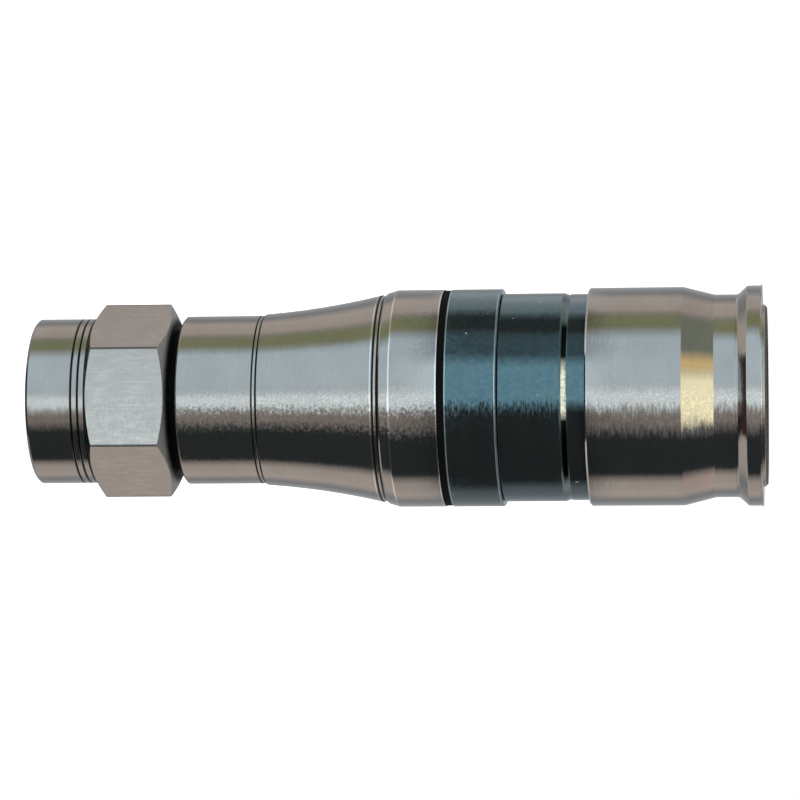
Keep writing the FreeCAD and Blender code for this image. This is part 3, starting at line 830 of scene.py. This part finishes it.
# %% Cards by angle and height
CARD_EDGE = 15
TENT_HEIGHTS = [
    (-200, METAL_CARDS),
    (11, METAL_CARDS),
    (11.5, BLACK_PIECE_CARDS),
    (27.2, BLACK_PIECE_CARDS),
    (27.5, METAL_CARDS),
    (56, METAL_CARDS),
    (90, TAPER_CARDS),
    (130, TAPER_CARDS),
    (142, METAL_CARDS),
    (220, METAL_CARDS),
]


def card_share(angle, low, high):
    inside = min(angle - low, high - angle) / CARD_EDGE + 0.5
    return max(0.0, min(1.0, inside))


def wall_colour(cards, angle):
    colour = Vector(PAPER) * ROOM_GLOW
    for low, high, card, strength in cards:
        colour = colour.lerp(Vector(card) * strength, card_share(angle, low, high))
    return colour


print("tent from", TENT_HEIGHTS[0][0], "to", TENT_HEIGHTS[-1][0], "mm")

# %% [markdown]
# The drum is built in rows, from the middle of the lower cap, up the wall, to the middle of the
# upper cap. Each row is a list of corners with their glow. The middle of the lower cap is dark,
# and the flare of the sleeve mirrors it.


# %% Rows of the tent
TENT_RADIUS = 160 * MM
TENT_ANGLES = list(range(-180, 181))
CAP_RINGS = ((0.02, 0.0), (0.58, 0.0), (0.70, 1.0), (1.0, 1.0))
BOTTOM_CAP = (0.11, 0.07, 0.072)
TOP_CAP = (0.42, 0.42, 0.41)
CAMERA_SIDE = math.atan2(eye.y, eye.x)


def tent_row(mesh, share, height, colours):
    row = []
    for angle, colour in zip(TENT_ANGLES, colours):
        turn = CAMERA_SIDE - math.radians(angle)
        reach = TENT_RADIUS * share
        corner = (reach * math.cos(turn), reach * math.sin(turn), height * MM)
        row.append((mesh.verts.new(corner), colour))
    return row


def cap_rows(mesh, height, cards, middle):
    rows = []
    for share, bright in CAP_RINGS:
        colours = [Vector(middle).lerp(wall_colour(cards, angle), bright) for angle in TENT_ANGLES]
        rows.append(tent_row(mesh, share, height, colours))
    return rows


print("corners in a row", len(TENT_ANGLES))

# %% [markdown]
# Two rows that follow each other are joined by faces. A face keeps the glow of its four corners
# in a colour layer of the mesh, so the cards need no picture.

# %% Build the tent
tent_mesh = bmesh.new()
glow = tent_mesh.loops.layers.float_color.new("glow")
tent_rows = cap_rows(tent_mesh, *TENT_HEIGHTS[0], BOTTOM_CAP)
for height, cards in TENT_HEIGHTS[1:-1]:
    colours = [wall_colour(cards, angle) for angle in TENT_ANGLES]
    tent_rows.append(tent_row(tent_mesh, 1.0, height, colours))
tent_rows.extend(reversed(cap_rows(tent_mesh, *TENT_HEIGHTS[-1], TOP_CAP)))
for lower, upper in zip(tent_rows, tent_rows[1:]):
    for index in range(len(TENT_ANGLES) - 1):
        corners = [lower[index], lower[index + 1], upper[index + 1], upper[index]]
        face = tent_mesh.faces.new([vertex for vertex, colour in corners])
        for loop, (vertex, colour) in zip(face.loops, corners):
            loop[glow] = (*colour, 1)
tent_data = bpy.data.meshes.new("light_tent")
tent_mesh.to_mesh(tent_data)
tent_mesh.free()
tent = bpy.data.objects.new("light_tent", tent_data)
bpy.context.scene.collection.objects.link(tent)
print("tent faces", len(tent_data.polygons))

# %% [markdown]
# The tent glows in its layer's colours. It shows in shiny surfaces only: it isn't in the picture,
# it throws no shadow, and matt surfaces are lit by the room and the lamps alone.

# %% Let the tent glow
tent_glow = bpy.data.materials.new("tent_glow")
tent_glow.use_nodes = True
tent_tree = tent_glow.node_tree
tent_tree.nodes.clear()
painted = tent_tree.nodes.new("ShaderNodeVertexColor")
painted.layer_name = "glow"
emission = tent_tree.nodes.new("ShaderNodeEmission")
tent_out = tent_tree.nodes.new("ShaderNodeOutputMaterial")
tent_tree.links.new(painted.outputs["Color"], emission.inputs["Color"])
tent_tree.links.new(emission.outputs[0], tent_out.inputs["Surface"])
tent.data.materials.append(tent_glow)
tent.visible_camera = False
tent.visible_diffuse = False
tent.visible_shadow = False
tent.visible_transmission = False

# %% [markdown]
# ## Floor, background and lamps
#
# The connector stands on a pale floor. The floor fills the background of the picture, so it
# glows for the camera. With the light of the room and the lamps that comes to more than white,
# so the connector's shadow doesn't show on it. The metal mirrors the tent, not the floor.

# %% Floor
FLOOR_REACH = 3.0
FLOOR_DROP = 0.02 * MM
floor_mesh = bmesh.new()
bmesh.ops.create_grid(floor_mesh, x_segments=1, y_segments=1, size=FLOOR_REACH)
floor_data = bpy.data.meshes.new("floor")
floor_mesh.to_mesh(floor_data)
floor_mesh.free()
floor = bpy.data.objects.new("floor", floor_data)
floor.location = (0, 0, -FLOOR_DROP)
bpy.context.scene.collection.objects.link(floor)
print("floor reaches", FLOOR_REACH, "m")

# %% [markdown]
# The floor's white is plain and matt. Light Path tells when the camera looks straight at it, and
# only then does it glow.

# %% White of the floor
FLOOR_WHITE = (0.82, 0.82, 0.82, 1)
FLOOR_GLOW = 0.75
floor_white = bpy.data.materials.new("floor_white")
floor_white.use_nodes = True
floor_tree = floor_white.node_tree
floor_shader = floor_tree.nodes["Principled BSDF"]
floor_shader.inputs["Base Color"].default_value = FLOOR_WHITE
floor_shader.inputs["Roughness"].default_value = 0.9
floor_shader.inputs["Specular IOR Level"].default_value = 0.0
ray = floor_tree.nodes.new("ShaderNodeLightPath")
floor_shine = floor_tree.nodes.new("ShaderNodeMath")
floor_shine.operation = "MULTIPLY"
floor_shine.inputs[1].default_value = FLOOR_GLOW
floor_tree.links.new(ray.outputs["Is Camera Ray"], floor_shine.inputs[0])
floor_tree.links.new(floor_shine.outputs[0], floor_shader.inputs["Emission Strength"])
floor_shader.inputs["Emission Color"].default_value = (1, 1, 1, 1)
floor.data.materials.append(floor_white)
floor.visible_glossy = False
print("floor glows at", FLOOR_GLOW, "for the camera")

# %% [markdown]
# Behind the floor's end and above it is a white room. It is white where the camera sees it, and
# lights the connector at a lower level. It would be white in a mirror too, but the tent hides it.

# %% World
ROOM_LIGHT = 0.55
world = bpy.data.worlds.new("white_room")
bpy.context.scene.world = world
world.use_nodes = True
world_tree = world.node_tree
room = world_tree.nodes["Background"]
world_ray = world_tree.nodes.new("ShaderNodeLightPath")
seen = world_tree.nodes.new("ShaderNodeMath")
seen.operation = "MAXIMUM"
seen_through = world_tree.nodes.new("ShaderNodeMath")
seen_through.operation = "MAXIMUM"
level = world_tree.nodes.new("ShaderNodeMapRange")
level.inputs["To Min"].default_value = ROOM_LIGHT
level.inputs["To Max"].default_value = 1.0
world_tree.links.new(world_ray.outputs["Is Camera Ray"], seen.inputs[0])
world_tree.links.new(world_ray.outputs["Is Glossy Ray"], seen.inputs[1])
world_tree.links.new(seen.outputs[0], seen_through.inputs[0])
world_tree.links.new(world_ray.outputs["Is Transmission Ray"], seen_through.inputs[1])
world_tree.links.new(seen_through.outputs[0], level.inputs["Value"])
world_tree.links.new(level.outputs["Result"], room.inputs["Strength"])
room.inputs["Color"].default_value = (1, 1, 1, 1)
print("room lights at", ROOM_LIGHT)

# %% [markdown]
# Two wide lamps add to the room's light: a key lamp at one side and a weaker fill at the other. A
# wide lamp shades softly. They are kept out of the metal, because the tent is what it mirrors.


# %% Lamps
LAMP_AIM = Vector((0, 0, 24 * MM))


def soft_lamp(name, place, width, power):
    data = bpy.data.lights.new(name, "AREA")
    data.shape = "SQUARE"
    data.size = width
    data.energy = power
    lamp = bpy.data.objects.new(name, data)
    lamp.location = place
    direction = LAMP_AIM - Vector(place)
    lamp.rotation_euler = direction.to_track_quat("-Z", "Y").to_euler()
    lamp.visible_glossy = False
    bpy.context.scene.collection.objects.link(lamp)
    return lamp


key_lamp = soft_lamp("key_lamp", (-0.35, -0.35, 0.45), 0.35, 3.0)
fill_lamp = soft_lamp("fill_lamp", (0.4, -0.2, 0.35), 0.4, 1.5)
print("lamps", key_lamp.name, fill_lamp.name)

# %% [markdown]
# ## Colour handling
#
# The Standard view keeps colours as they are written.

# %% Finish
bpy.context.scene.view_settings.view_transform = "Standard"
